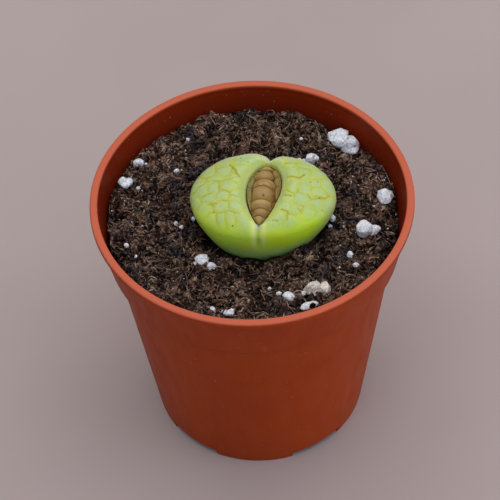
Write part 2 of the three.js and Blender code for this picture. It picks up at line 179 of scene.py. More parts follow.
# Further furrows inside the cells: strength, then points across and along.
CELL_LINES = [
    (0.5, (-1.2, 0.5), (-0.6, 1.15), (0.2, 1.2), (1.1, 0.75), (1.9, -0.1)),
    (0.35, (-1.0, 0.2), (-0.3, 0.75), (0.5, 0.7)),
    (0.8, (0.1, 0.25), (0.9, -0.15), (1.8, -0.85)),
    (0.5, (-1.75, -0.3), (-1.85, -2.4)),
    (0.35, (-1.2, -4.0), (0.3, -3.85), (1.4, -4.1)),
]
# Rust-brown and olive stains on the new leaves, as place across and along and half sizes, and the
# place of their dark dot.
RUST_SPOTS = [(1.95, -1.7, 0.3, 0.5), (2.1, -3.75, 0.4, 0.5), (-1.35, -4.9, 0.35, 0.45),
              (-1.7, -0.9, 0.2, 0.6), (1.4, -5.3, 0.35, 0.35)]
OLIVE_SPOTS = [(-1.15, -2.45, 0.55, 0.35), (1.15, -2.5, 0.6, 0.3), (-0.4, -7.0, 0.5, 0.35)]
NEW_DOT = (0.25, -2.1)
# The new pair in the opening: where its own fissure crosses, its reach to the back and to the front, how
# far its edge lies below the old lips, and how far its middle is crowned.
NEW_SPLIT = -2.8
NEW_BACK = 5.6
NEW_FRONT = 7.0
NEW_SINK = 0.45
NEW_CROWN = 0.5

# The perlite grains that are nodes, and the one among them that is weathered.
GRAIN_COUNT = 21
WEATHERED_GRAIN = 8
# Small loose bits of perlite: place, then the half size.
SMALL_PERLITE = [
    (-12.9, 11.7, 0.42), (-20.0, -7.4, 0.36), (-13.2, -0.4, 0.36), (-12.2, -1.4, 0.4),
    (2.2, -15.3, 0.34), (-19.6, 7.6, 0.35), (13.1, -2.6, 0.35), (15.4, -2.9, 0.2),
    (7.7, -17.0, 0.4), (-10.1, -9.2, 0.3), (-18.2, 13.5, 0.35), (8.6, 12.9, 0.45),
    (9.2, 12.3, 0.4), (11.5, 12.2, 0.5), (-6.2, -11.0, 0.25), (20.9, 1.5, 0.25),
]

# Heaps and hollows of the soil by the plant: place, radius, height.
HEAPS = [(8.0, -9.4, 2.2, 1.0), (5.9, -10.8, 1.6, 0.7), (10.4, -7.8, 1.6, 0.5), (-5.0, -9.3, 1.4, 0.6),
         (-2.5, -11.6, 1.5, -0.8), (-11.5, -6.5, 2.0, -0.7), (-20.5, 4.0, 2.2, 0.5)]
# How many loose crumbs, shreds and fibres of peat there are, and specks of perlite dust.
CRUMB_COUNT = 6400
SHRED_COUNT = 5400
FIBRE_COUNT = 260
DUST_COUNT = 110


# ---- Numbers ----

def smoothstep(value, low, high):
    """Zero below low, one above high, and a smooth S between them."""
    share = np.clip((value - low) / (high - low), 0, 1)
    return share * share * (3 - 2 * share)


def lattice_noise(points, size, seed):
    """Soft random waves from -1 to 1.

    Each corner of a cubic lattice with cells of that size has one draw. A point blends the eight
    draws round it by a smooth step along each axis.
    """
    side = 32
    draws = np.random.default_rng(seed).uniform(-1, 1, (side, side, side))
    cell = np.floor(points / size).astype(int)
    share = points / size - cell
    share = share * share * (3 - 2 * share)
    total = np.zeros(len(points))
    for corner in itertools.product((0, 1), repeat=3):
        weight = np.prod(np.where(np.array(corner) > 0, share, 1 - share), axis=1)
        x, y, z = ((cell + corner) % side).T
        total += weight * draws[x, y, z]
    return total


def cell_noise(points, size, seed):
    """Distances in cells to the nearest and second nearest of seeds drawn one in each lattice cell,
    and a draw from 0 to 1 that belongs to the nearest."""
    side = 24
    draws = np.random.default_rng(seed).random((side, side, side, 4))
    cell = np.floor(points / size).astype(int)
    first = np.full(len(points), 9.0)
    second = np.full(len(points), 9.0)
    tone = np.zeros(len(points))
    for step in itertools.product((-1, 0, 1), repeat=3):
        near = cell + step
        x, y, z = (near % side).T
        seed_draw = draws[x, y, z]
        distance = np.linalg.norm(near + seed_draw[:, :3] - points / size, axis=1)
        closer = distance < first
        second = np.where(closer, first, np.minimum(second, distance))
        tone = np.where(closer, seed_draw[:, 3], tone)
        first = np.where(closer, distance, first)
    return first, second, tone


def to_line(x, y, points):
    """Distance from each place to a line through the points."""
    nearest = np.full(x.shape, 99.0)
    for (ax, ay), (bx, by) in zip(points, points[1:]):
        length = (bx - ax) ** 2 + (by - ay) ** 2
        share = np.clip(((x - ax) * (bx - ax) + (y - ay) * (by - ay)) / length, 0, 1)
        nearest = np.minimum(nearest, np.hypot(x - ax - share * (bx - ax), y - ay - share * (by - ay)))
    return nearest


def random_turns(count, rng):
    """Rotation matrices drawn evenly, from unit quaternions."""
    quaternions = rng.normal(size=(4, count))
    w, x, y, z = quaternions / np.linalg.norm(quaternions, axis=0)
    return np.stack([
        np.stack([1 - 2 * (y * y + z * z), 2 * (x * y - w * z), 2 * (x * z + w * y)], -1),
        np.stack([2 * (x * y + w * z), 1 - 2 * (x * x + z * z), 2 * (y * z - w * x)], -1),
        np.stack([2 * (x * z - w * y), 2 * (y * z + w * x), 1 - 2 * (x * x + y * y)], -1),
    ], axis=1)


# ---- Meshes ----

def new_piece(name, points, faces, material, smooth=True, **values):
    """A mesh object from points in mm and arrays of faces, with its values for the material."""
    corners = np.concatenate([part.ravel() for part in faces]).astype(np.int32)
    sizes = np.concatenate([np.full(len(part), part.shape[1]) for part in faces])
    mesh = bpy.data.meshes.new(name)
    mesh.vertices.add(len(points))
    mesh.vertices.foreach_set("co", (points * MM).astype(np.float32).ravel())
    mesh.loops.add(len(corners))
    mesh.loops.foreach_set("vertex_index", corners)
    mesh.polygons.add(len(sizes))
    mesh.polygons.foreach_set("loop_start", (np.cumsum(sizes) - sizes).astype(np.int32))
    mesh.polygons.foreach_set("use_smooth", np.full(len(sizes), smooth))
    mesh.update(calc_edges=True)
    mesh.materials.append(material)
    piece = bpy.data.objects.new(name, mesh)
    bpy.context.collection.objects.link(piece)
    for key, value in values.items():
        set_value(piece, key, value)
    return piece


def points_of(mesh):
    """The mesh's points, in millimetres."""
    place = np.empty(3 * len(mesh.vertices), np.float32)
    mesh.vertices.foreach_get("co", place)
    return place.reshape(-1, 3) / MM


def set_value(piece, key, value):
    """Give the piece one number for each point, which the material can read."""
    attribute = piece.data.attributes.new(key, "FLOAT", "POINT")
    attribute.data.foreach_set("value", value.astype(np.float32))


def closed_rings(first_pole, rings, last_pole):
    """Points and faces of a closed skin: rings is (count, around, 3), each ring anticlockwise seen
    from outside the last pole, and the two ends close on a point."""
    count, around = rings.shape[:2]
    points = np.vstack([[first_pole], rings.reshape(-1, 3), [last_pole]])
    index = 1 + np.arange(count * around).reshape(count, around)
    after = np.roll(index, -1, axis=1)
    quads = np.stack([index[:-1], after[:-1], after[1:], index[1:]], axis=-1).reshape(-1, 4)
    start = np.stack([after[0], index[0], np.zeros(around, int)], axis=-1)
    end = np.stack([index[-1], after[-1], np.full(around, len(points) - 1)], axis=-1)
    return points, [quads, start, end]


def rounded_profile(corners, steps=4):
    """A profile of (radius, height) whose corners are rounded: at each corner with a cut, a
    parabola runs from that length before it to that length after it."""
    points = [corners[0][:2]]
    share = np.linspace(0, 1, steps + 1)[:, None]
    for before, here, after in zip(corners, corners[1:], corners[2:]):
        corner = np.array(here[:2], float)
        start = np.array(before[:2]) - corner
        end = np.array(after[:2]) - corner
        start = corner + start / np.linalg.norm(start) * here[2]
        end = corner + end / np.linalg.norm(end) * here[2]
        arc = (1 - share) ** 2 * start + 2 * share * (1 - share) * corner + share ** 2 * end
        points.extend(arc.tolist() if here[2] else [here[:2]])
    points.append(corners[-1][:2])
    return np.array(points, float)


def prism(outline, low, high):
    """A closed upright prism over an outline of (x, y) points, anticlockwise."""
    rings = np.stack([np.column_stack([outline, np.full(len(outline), z)]) for z in (low, high)])
    middle = outline.mean(axis=0)
    return closed_rings([*middle, low], rings, [*middle, high])


def joined(parts):
    """Several (points, faces) as one."""
    points = []
    faces = []
    start = 0
    for part_points, part_faces in parts:
        points.append(part_points)
        faces.extend(face + start for face in part_faces)
        start += len(part_points)
    return np.vstack(points), faces


def apply_modifiers(piece):
    """Replace the piece's mesh by the one that its modifiers give."""
    graph = bpy.context.evaluated_depsgraph_get()
    mesh = bpy.data.meshes.new_from_object(piece.evaluated_get(graph))
    piece.modifiers.clear()
    piece.data = mesh


def ball(subdivisions):
    """Points and triangles of a ball of radius 1."""
    sphere = bmesh.new()
    bmesh.ops.create_icosphere(sphere, subdivisions=subdivisions, radius=1)
    points = np.array([vertex.co for vertex in sphere.verts])
    faces = np.array([[vertex.index for vertex in face.verts] for face in sphere.faces])
    sphere.free()
    return points, faces


def chunks(centres, half_sizes, jag, rng, subdivisions=1):
    """Many chunks in one mesh: each is a ball with its points moved in or out at random, stretched
    to its half sizes, turned at random and put at its centre."""
    points, faces = ball(subdivisions)
    count = len(centres)
    reach = 1 + jag * rng.uniform(-1, 1, (count, len(points), 1))
    local = points * reach * half_sizes[:, None, :]
    world = np.einsum("nij,nkj->nki", random_turns(count, rng), local) + centres[:, None, :]
    starts = len(points) * np.arange(count)
    all_faces = (faces[None] + starts[:, None, None]).reshape(-1, 3)
    return world.reshape(-1, 3), [all_faces], len(points)


def tubes(lines, radii):
    """Many thin three-sided tubes in one mesh: lines is (count, steps, 3), radii is (count, steps).

    Each section is a triangle square to the line, and the ends close on their own triangle.
    """
    count, steps = radii.shape
    along = np.gradient(lines, axis=1)
    along /= np.linalg.norm(along, axis=2, keepdims=True)
    side = np.cross(along, [0.31, 0.17, 0.93])
    side /= np.linalg.norm(side, axis=2, keepdims=True)
    up = np.cross(side, along)
    turn = np.arange(3) * 2 * math.pi / 3
    round_it = (np.cos(turn)[:, None] * side[:, :, None, :] + np.sin(turn)[:, None] * up[:, :, None, :])
    points = lines[:, :, None, :] + round_it * radii[:, :, None, None]
    index = np.arange(count * steps * 3).reshape(count, steps, 3)
    after = np.roll(index, -1, axis=2)
    quads = np.stack([index[:, :-1], after[:, :-1], after[:, 1:], index[:, 1:]], axis=-1)
    starts = index[:, 0, ::-1]
    return points.reshape(-1, 3), [quads[..., ::-1].reshape(-1, 4), starts[:, ::-1], index[:, -1, ::-1]]


def dress(piece, slot, *nodes):
    """The piece rides on the pot's body and stands for those nodes; the slot is not used."""
    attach(piece, "root")
    if nodes:
        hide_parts(*nodes)


# ---- Material helpers ----

def linear(code):
    """A colour written as sRGB hex, as the linear numbers that shaders take."""
    channels = [int(code[i:i + 2], 16) / 255 for i in (1, 3, 5)]
    return (*[c / 12.92 if c <= 0.04045 else ((c + 0.055) / 1.055) ** 2.4 for c in channels], 1)


def add(tree, kind, inputs=None, **settings):
    """One node: its settings, then its inputs, each a value or the socket that feeds it."""
    node = tree.nodes.new(kind)
    for key, value in settings.items():
        setattr(node, key, value)
    for key, value in (inputs or {}).items():
        if isinstance(value, bpy.types.NodeSocket):
            tree.links.new(value, node.inputs[key])
        else:
            node.inputs[key].default_value = value
    return node


def new_material(name, **constants):
    """A material with one Principled shader, whose constant sockets are set here."""
    material = bpy.data.materials.new(name)
    material.use_nodes = True
    tree = material.node_tree
    shader = tree.nodes["Principled BSDF"]
    for key, value in constants.items():
        shader.inputs[key.replace("_", " ").title().replace("Ior", "IOR")].default_value = value
    return material, tree, shader


def mixed(tree, factor, low, high):
    """A colour between two, by a factor. Each colour is hex or a socket."""
    colours = [linear(c) if isinstance(c, str) else c for c in (low, high)]
    node = add(tree, "ShaderNodeMix", {0: factor, 6: colours[0], 7: colours[1]}, data_type="RGBA")
    return node.outputs[2]


def spread(tree, value, low, high, start=0.0, end=1.0):
    """A value carried from low..high to start..end, smoothly and held at the ends."""
    node = add(tree, "ShaderNodeMapRange", {0: value, 1: low, 2: high, 3: start, 4: end},
               interpolation_type="SMOOTHSTEP")
    return node.outputs[0]


def grain_of(tree, millimetres, detail=2.0, stretch=(1, 1, 1)):
    """Noise from 0 to 1 on object coordinates, whose waves are that many millimetres long."""
    place = add(tree, "ShaderNodeTexCoord").outputs["Object"]
    scaled = add(tree, "ShaderNodeMapping", {"Vector": place, "Scale": stretch})
    noise = add(tree, "ShaderNodeTexNoise", {
        "Vector": scaled.outputs[0], "Scale": 1 / (millimetres * MM), "Detail": detail})
    return noise.outputs[0]


def value_of(tree, name):
    """An attribute of the mesh, as a number."""
    return add(tree, "ShaderNodeAttribute", attribute_name=name).outputs["Fac"]


def tinted(tree, colour, tints):
    """The colour, drawn in turn towards each tint by the mesh's attribute of that name."""
    for name, tint in tints.items():
        colour = mixed(tree, value_of(tree, name), colour, tint)
    return colour


def bumped(tree, shader, height, millimetres):
    """A bump of that depth on the shader, for a height from 0 to 1."""
    bump = add(tree, "ShaderNodeBump", {"Height": height, "Distance": millimetres * MM})
    tree.links.new(bump.outputs[0], shader.inputs["Normal"])


# ---- Materials ----

def moulded_polypropylene():
    """Terracotta-coloured polypropylene, injection moulded: a soft even gloss, faint rub marks."""
    # IOR 1.49 is usual for a polyolefin, and the weak gloss is that of a face with a fine mould grain.
    # Rub marks run up and down. The grain is drawn at 0.6 mm, coarser than the real one, to show.
    material, tree, shader = new_material(
        "moulded_polypropylene", ior=1.49, roughness=0.5, specular_ior_level=0.09)
    clouds = grain_of(tree, 9, 3)
    rubbed = grain_of(tree, 2.2, 4, (1, 1, 0.25))
    colour = mixed(tree, spread(tree, clouds, 0.3, 0.7), "#A63B08", "#AC410C")
    colour = mixed(tree, spread(tree, rubbed, 0.6, 0.85, 0, 0.2), colour, "#CC7450")
    # Painted shade: the pot's inside is a darker red, darker still towards the soil.
    painted_depth_shade = mixed(tree, value_of(tree, "painted_depth_shade"), "#84280A", "#40120A")
    colour = mixed(tree, value_of(tree, "inside"), colour, painted_depth_shade)
    # The lip's top is paler: partly wear, partly a painted sheen of the light above.
    colour = mixed(tree, value_of(tree, "wear_and_sheen"), colour, "#C4644A")
    dust = spread(tree, grain_of(tree, 0.5, 1), 0.74, 0.8, 0, 0.35)
    colour = mixed(tree, dust, colour, "#D8B8A4")
    tree.links.new(colour, shader.inputs["Base Color"])
    tree.links.new(spread(tree, rubbed, 0.3, 0.8, 0.45, 0.6), shader.inputs["Roughness"])
    bumped(tree, shader, grain_of(tree, 0.6, 2), 0.02)
    return material


def damp_peat():
    """Milled peat, damp: near-black crumbs with brown fibre, dull with a few wet glints."""
    # IOR 1.45 for plant matter, and rough. Crumbs are half a millimetre, patches a few millimetres.
    material, tree, shader = new_material("damp_peat", ior=1.45, roughness=0.85, specular_ior_level=0.15)
    fine = grain_of(tree, 0.55, 3)
    broad = grain_of(tree, 5, 2)
    speckle = spread(tree, fine, 0.3, 0.75, -0.3, 0.3)
    shade = add(tree, "ShaderNodeMath", {0: value_of(tree, "tone"), 1: speckle}, operation="ADD")
    colour = mixed(tree, spread(tree, shade.outputs[0], 0.12, 0.65), "#0B0605", "#755D51")
    colour = mixed(tree, spread(tree, shade.outputs[0], 0.62, 1.1), colour, "#C2A492")
    colour = mixed(tree, spread(tree, grain_of(tree, 2.4, 2), 0.52, 0.68, 0, 0.4), colour, "#52342A")
    colour = mixed(tree, spread(tree, grain_of(tree, 3.7, 2), 0.55, 0.68, 0, 0.6), colour, "#1C1E28")
    colour = mixed(tree, spread(tree, broad, 0.4, 0.75, 0, 0.3), colour, "#140E0D")
    tree.links.new(colour, shader.inputs["Base Color"])
    tree.links.new(spread(tree, fine, 0.35, 0.7, 0.95, 0.6), shader.inputs["Roughness"])
    bumped(tree, shader, grain_of(tree, 0.3, 3), 0.12)
    return material


def peat_fibre():
    """Sedge and root fibre in the peat: dry, light to dark brown."""
    # As the peat, less rough where a fibre's skin is whole. Streaks are 0.4 mm long.
    material, tree, shader = new_material("peat_fibre", ior=1.45, roughness=0.7)
    tone = value_of(tree, "tone")
    colour = mixed(tree, spread(tree, tone, 0.05, 0.45), "#231815", "#927A6B")
    colour = mixed(tree, spread(tree, tone, 0.45, 0.8), colour, "#BCA48E")
    colour = mixed(tree, spread(tree, grain_of(tree, 2.6, 2), 0.52, 0.68, 0, 0.5), colour, "#7C5232")
    colour = mixed(tree, spread(tree, grain_of(tree, 3.7, 2), 0.55, 0.68, 0, 0.6), colour, "#3A3A48")
    streak = spread(tree, grain_of(tree, 0.4, 2), 0.35, 0.7, 0, 0.5)
    tree.links.new(mixed(tree, streak, colour, "#33241C"), shader.inputs["Base Color"])
    return material


def expanded_perlite(name, white, shade):
    """Expanded volcanic glass: a chalky white foam with tiny open pores and specks of peat."""
    # IOR 1.5 for glass, whose broken bubbles make it matt. Pores are drawn at 0.35 mm, to show.
    material, tree, shader = new_material(name, ior=1.5, roughness=0.88)
    pores = grain_of(tree, 0.35, 3)
    # Painted shade: where the pore noise is low, the grain takes the bluish shade colour, for shade in its
    # pores.
    colour = mixed(tree, spread(tree, pores, 0.35, 0.6), shade, white)
    soiled = spread(tree, grain_of(tree, 1.5, 4), 0.61, 0.7, 0, 0.65)
    colour = mixed(tree, soiled, colour, "#6B4E3C")
    tree.links.new(colour, shader.inputs["Base Color"])
    bumped(tree, shader, pores, 0.1)
    return material


def old_leaf_cuticle():
    """A full succulent leaf: waxy cuticle over watery green tissue, with pale windows in a net."""
    # IOR 1.4 for the cuticle. Light goes a few millimetres into the tissue, less far in blue. The
    # wax's grain is drawn at 0.28 mm, coarser than the real one, to show.
    material, tree, shader = new_material(
        "old_leaf_cuticle", ior=1.4, roughness=0.45, subsurface_weight=0.8, subsurface_scale=0.0055)
    shader.inputs["Subsurface Radius"].default_value = (0.9, 1.0, 0.3)
    patches = grain_of(tree, 3.2, 2)
    fine = grain_of(tree, 0.5, 3)
    colour = mixed(tree, spread(tree, patches, 0.35, 0.65), "#AEC674", "#B8C866")
    colour = tinted(tree, colour, {
        "island": "#A6C496", "window": "#B6CCAE", "halo": "#B8C436", "groove": "#A09C04",
        # The cream ridges by the seam are a painted highlight.
        # The flank's lime is partly its own green and partly a painted glow of light through the leaf.
        "lip": "#D6DC90", "lime_and_painted_glow": "#D4FF10", "foot": "#BCF280", "ridge_highlight": "#DCF888",
        # The pale back edge is a painted highlight; the pale tip is a membrane.
        "tip_and_back_highlight": "#EAF8DC", "seam": "#B4CC50", "dot": "#4F5A1E",
    })
    tint = spread(tree, fine, 0.35, 0.7, 0, 0.18)
    colour = mixed(tree, tint, colour, "#D9DFA0")
    tree.links.new(colour, shader.inputs["Base Color"])
    tree.links.new(spread(tree, fine, 0.3, 0.7, 0.38, 0.5), shader.inputs["Roughness"])
    bumped(tree, shader, grain_of(tree, 0.28, 2), 0.02)
    return material


def new_leaf_cuticle():
    """The young leaves' face: the same wax over denser tissue, tan cells with brown furrows."""
    # IOR as the old leaves. Light goes in less than a millimetre.
    material, tree, shader = new_material(
        "new_leaf_cuticle", ior=1.4, roughness=0.5, subsurface_weight=0.15, subsurface_scale=0.0008)
    shader.inputs["Subsurface Radius"].default_value = (1.0, 0.6, 0.3)
    fine = grain_of(tree, 0.6, 3)
    # How light the cells are carries painted shade.
    colour = mixed(tree, value_of(tree, "lightness_and_shade"), "#7A5C26", "#BE9E66")
    colour = mixed(tree, value_of(tree, "green"), colour, "#80804C")
    colour = mixed(tree, spread(tree, fine, 0.35, 0.7, 0, 0.25), colour, "#8E6C30")
    colour = tinted(tree, colour, {
        "olive": "#8C8230", "rust": "#7A4E14", "furrow": "#4C340C", "dot": "#3C4420"})
    tree.links.new(colour, shader.inputs["Base Color"])
    bumped(tree, shader, grain_of(tree, 0.25, 2), 0.02)
    return material


def plain_floor():
    """A plain pale studio floor, matt, with faint broad patches."""
    material, tree, shader = new_material("matt_floor", roughness=0.9)
    colour = mixed(tree, spread(tree, grain_of(tree, 40, 2), 0.3, 0.7), "#B0A4A2", "#B4A8A6")
    tree.links.new(colour, shader.inputs["Base Color"])
    return material


# ---- Pot ----

def lip_drop(angle):
    """The lip's underside hangs a little lower over a stretch of its front, with steep ends. The
    angle is in degrees round the axis, from +X."""
    return 0.25 * smoothstep(angle, -111.0, -109.5) * (1 - smoothstep(angle, -63.0, -61.0))


def pot_profile():
    """Radius and height from the underside's centre, up the outside and down the inside; each
    corner has the cut that rounds it."""
    lip_bottom = POT_HEIGHT - LIP_DEPTH
    foot_inner = BASE_RADIUS - FOOT_WIDTH
    floor_top = FOOT_HEIGHT + FLOOR_THICKNESS
    corners = [
        (0, FOOT_HEIGHT), (foot_inner, FOOT_HEIGHT, 0.3), (foot_inner, 0, 0.2),
        (BASE_RADIUS, 0, 0.35), (WALL_TOP_RADIUS, STEP_HEIGHT - STEP_DROP, 0.25),
        (COLLAR_BOTTOM_RADIUS, STEP_HEIGHT, 0.35), (COLLAR_TOP_RADIUS, lip_bottom, 0.15),
        (RIM_RADIUS, lip_bottom + 0.1, 0.22), (RIM_RADIUS, POT_HEIGHT, 0.4),
        (MOUTH_RADIUS, POT_HEIGHT, 0.4), (COLLAR_TOP_RADIUS - WALL, lip_bottom, 0.3),
        (COLLAR_BOTTOM_RADIUS - WALL, STEP_HEIGHT, 0.3),
        (WALL_TOP_RADIUS - WALL, STEP_HEIGHT - STEP_DROP, 0.3),
        (wall_inner_radius(floor_top), floor_top, 0.6), (0, floor_top),
    ]
    return rounded_profile(corners)


def wall_inner_radius(z):
    """Radius of the inside of the tapering wall at a height below the step."""
    return np.interp(z, [0, STEP_HEIGHT - STEP_DROP], [BASE_RADIUS, WALL_TOP_RADIUS]) - WALL


def collar_inner_radius(z):
    """Radius of the inside of the collar at a height above the step."""
    heights = [STEP_HEIGHT, POT_HEIGHT - LIP_DEPTH]
    return np.interp(z, heights, [COLLAR_BOTTOM_RADIUS, COLLAR_TOP_RADIUS]) - WALL


def circle(radius, count):
    """Points (x, y) of a circle round the origin, anticlockwise."""
    turn = np.arange(count) / count * 2 * math.pi
    return radius * np.column_stack([np.cos(turn), np.sin(turn)])


def drain_cutters():
    """What the pot's base loses: a hole in the middle, and a hole and a notch at each drain."""
    floor_top = FOOT_HEIGHT + FLOOR_THICKNESS
    parts = [prism(circle(CENTRE_HOLE_RADIUS, 40), -1, floor_top + 1)]
    half = NOTCH_WIDTH / 2
    inner = BASE_RADIUS / 2 + 6.5
    outer = BASE_RADIUS + 3
    notch = np.array([[inner, -half], [outer, -half], [outer, half], [inner, half]])
    hole = circle(HOLE_RADIUS, 32) + [HOLE_CIRCLE, 0]
    for i in range(NOTCH_COUNT):
        angle = math.radians(NOTCH_FIRST_ANGLE + i * 360 / NOTCH_COUNT)
        turn = np.array([[math.cos(angle), math.sin(angle)], [-math.sin(angle), math.cos(angle)]])
        parts.append(prism(notch @ turn, -1, NOTCH_HEIGHT))
        parts.append(prism(hole @ turn, NOTCH_HEIGHT + 0.05, floor_top + 1))
    return joined(parts)


def moulded_pot(material):
    """The pot: its profile turned round the axis, with the drains cut out of its base."""
    profile = pot_profile()
    around = 288
    turn = np.arange(around) / around * 2 * math.pi
    radius = profile[1:-1, 0, None]
    height = profile[1:-1, 1, None]
    under_lip = (radius > COLLAR_TOP_RADIUS - 0.2) & (height < POT_HEIGHT - 0.6)
    degrees = (np.degrees(turn) + 180) % 360 - 180
    rings = np.stack([
        radius * np.cos(turn), radius * np.sin(turn), height - under_lip * lip_drop(degrees)], axis=-1)
    points, faces = closed_rings([0, 0, profile[0, 1]], rings, [0, 0, profile[-1, 1]])
    pot = new_piece("moulded_pot", points, faces, material)
    cutter = new_piece("drain_cutters", *drain_cutters(), material)
    cut = pot.modifiers.new("drains", "BOOLEAN")
    cut.object = cutter
    cut.operation = "DIFFERENCE"
    cut.solver = "EXACT"
    apply_modifiers(pot)
    bpy.data.objects.remove(cutter)
    x, y, z = points_of(pot.data).T
    wall_middle = np.where(z > STEP_HEIGHT, collar_inner_radius(z), wall_inner_radius(z)) + WALL / 2
    # Painted shade: the inside, and its depth below the rim, mark where the pot is painted darker.
    set_value(pot, "inside", (np.hypot(x, y) < wall_middle) & (z < POT_HEIGHT - 0.5))
    # Wear and a painted sheen on the lip's top.
    set_value(pot, "wear_and_sheen", smoothstep(z, POT_HEIGHT - 0.45, POT_HEIGHT - 0.1))
    set_value(pot, "painted_depth_shade", smoothstep(POT_HEIGHT - z, 1.5, 5.5))
    pot.data.set_sharp_from_angle(angle=math.radians(35))
    dress(pot, "pot_plastic", "pot")


# ---- Peat ----

def soil_height(x, y):
    """Height of the soil's lumps, which rises to the pot's wall at the back and left, and falls in
    front."""
    lumps = sum(height * np.sin(along_x * x + along_y * y + shift)
                for height, along_x, along_y, shift in SOIL_WAVES)
    fall = SOIL_EDGE_DROP * smoothstep(np.hypot(x, y), SOIL_EDGE_RISE, collar_inner_radius(SOIL_LEVEL))
    return SOIL_LEVEL + lumps - fall * (0.15 - 0.85 * np.tanh((y - 2 + 0.4 * np.maximum(0, -x)) / 6))


def to_plant(x, y):
    """Places in the plant's own frame: across and along the fissure."""
    turn = math.radians(PLANT_TURN)
    dx = x - PLANT_PLACE[0]
    dy = y - PLANT_PLACE[1]
    return math.cos(turn) * dx + math.sin(turn) * dy, math.cos(turn) * dy - math.sin(turn) * dx


def plant_reach(x, y):
    """How far out a place is from the plant's axis: 1 on its widest outline."""
    return old_reach(*to_plant(x, y))


def crumbly(x, y):
    """Height and tone of the soil's surface: its lumps, with rounded clods, crumbs and fine grit on
    them, the heaps, a hollow beside the plant and at the front wall, and a bed for the plant. The tone
    carries painted shade: darker between the clods, in the hollow beside the plant and at the front wall."""
    flat = np.column_stack([x, y, np.zeros(len(x))])
    bent = flat + 0.5 * np.column_stack([
        lattice_noise(flat, 1.3, 11), lattice_noise(flat, 1.3, 12), np.zeros(len(x))])
    clods, _, clod_tone = cell_noise(bent, CLOD_SIZE, 3)
    crumbs, _, crumb_tone = cell_noise(bent, CRUMB_SIZE, 5)
    grit, _, grit_tone = cell_noise(flat, GRIT_SIZE, 6)
    height = (soil_height(x, y) + 1.35 * (0.55 - clods) + 0.45 * (0.5 - crumbs) + 0.2 * (0.5 - grit)
              + 0.12 * lattice_noise(flat, 0.4, 7))
    for heap_x, heap_y, radius, rise in HEAPS:
        height = height + rise * np.exp(-((x - heap_x) ** 2 + (y - heap_y) ** 2) / radius ** 2)
    reach = plant_reach(x, y)
    beside = (1 - smoothstep(reach, 0.95, 1.14)) * (1 - 0.7 * smoothstep(x, 2, 8))
    height = height - 0.7 * beside
    share = np.interp(-reach, -FLANK[:, 1] / OLD_ACROSS, FLANK[:, 0])
    height = np.minimum(height, PLANT_PLACE[2] + share - CLEARANCE)
    tone = 0.3 * clod_tone + 0.35 * crumb_tone + 0.35 * grit_tone
    edge = smoothstep(np.hypot(x, y), 23.2, 24.6) * smoothstep(-y - 0.5 * np.maximum(0, -x), -9, 4)
    # Painted shade: the tone is darkened between the clods, at the front wall and beside the plant.
    return height - 0.6 * edge, np.clip(tone - 0.85 * clods * clods - 0.5 * edge - 0.4 * beside, 0, 1)


def peat(material):
    """The soil: a square grid bent to a disc, x = u sqrt(1 - v²/2) and y alike, raised to the crumbly
    height, with sides that follow the pot's inside down to its floor."""
    n = 292
    u, v = np.meshgrid(np.linspace(-1, 1, n), np.linspace(-1, 1, n), indexing="ij")
    edge = collar_inner_radius(SOIL_LEVEL - SOIL_EDGE_DROP) - CLEARANCE
    x = (edge * u * np.sqrt(1 - v * v / 2)).ravel()
    y = (edge * v * np.sqrt(1 - u * u / 2)).ravel()
    z, tone = crumbly(x, y)
    points = np.column_stack([x, y, z])
    index = np.arange(n * n).reshape(n, n)
    top = np.stack([index[:-1, :-1], index[1:, :-1], index[1:, 1:], index[:-1, 1:]], axis=-1).reshape(-1, 4)
    border = np.concatenate([index[:-1, 0], index[-1, :-1], index[:0:-1, -1], index[0, :0:-1]])
    under_step = STEP_HEIGHT - STEP_DROP
    bottom = FOOT_HEIGHT + FLOOR_THICKNESS + CLEARANCE
    rim = points[border]
    direction = rim[:, :2] / np.linalg.norm(rim[:, :2], axis=1, keepdims=True)
    levels = [(collar_inner_radius(STEP_HEIGHT), STEP_HEIGHT + CLEARANCE),
              (wall_inner_radius(under_step), under_step + CLEARANCE), (wall_inner_radius(bottom), bottom)]
    skirt = [np.column_stack([direction * (radius - CLEARANCE), np.full(len(rim), level)])
             for radius, level in levels]
    base = len(points)
    rows = np.vstack([border, base + np.arange(len(levels) * len(rim)).reshape(len(levels), -1)])
    after = np.roll(rows, -1, axis=1)
    sides = np.stack([rows[:-1], rows[1:], after[1:], after[:-1]], axis=-1).reshape(-1, 4)
    middle = base + len(levels) * len(rim)
    floor = np.stack([after[-1], rows[-1], np.full(len(rim), middle)], axis=-1)
    points = np.vstack([points, *skirt, [[0, 0, bottom]]])
    tone = np.concatenate([tone, np.full(len(points) - len(tone), 0.3)])
    soil = new_piece("peat", points, [top, sides, floor], material, tone=tone)
    dress(soil, "peat", "soil")


def scattered(count, rng, clear=0.9):
    """Places drawn evenly over the soil, clear of the plant."""
    places = np.empty((0, 2))
    while len(places) < count:
        radius = SOIL_REACH * np.sqrt(rng.random(2 * count))
        angle = 2 * math.pi * rng.random(2 * count)
        draw = np.column_stack([radius * np.cos(angle), radius * np.sin(angle)])
        places = np.vstack([places, draw[plant_reach(*draw.T) > clear]])
    return places[:count]


def peat_crumbs(material):
    """Loose crumbs of peat, of twenty faces each: many small ones and a few clods."""
    rng = np.random.default_rng(21)
    places = scattered(CRUMB_COUNT, rng)
    size = 0.14 + 0.45 * rng.random(CRUMB_COUNT) ** 3.5
    half_sizes = size[:, None] * rng.uniform(0.45, 1.5, (CRUMB_COUNT, 3))
    height, ground_tone_and_shade = crumbly(*places.T)
    centres = np.column_stack([places, height + size * rng.uniform(-0.3, 0.5, CRUMB_COUNT)])
    points, faces, each = chunks(centres, half_sizes, 0.45, rng)
    # The crumbs take half the ground's tone, its painted shade included.
    tone = np.repeat(0.5 * ground_tone_and_shade + 0.5 * rng.random(CRUMB_COUNT) ** 1.3, each)
    crumbs = new_piece("peat_crumbs", points, faces, material, smooth=False, tone=tone)
    dress(crumbs, "peat")


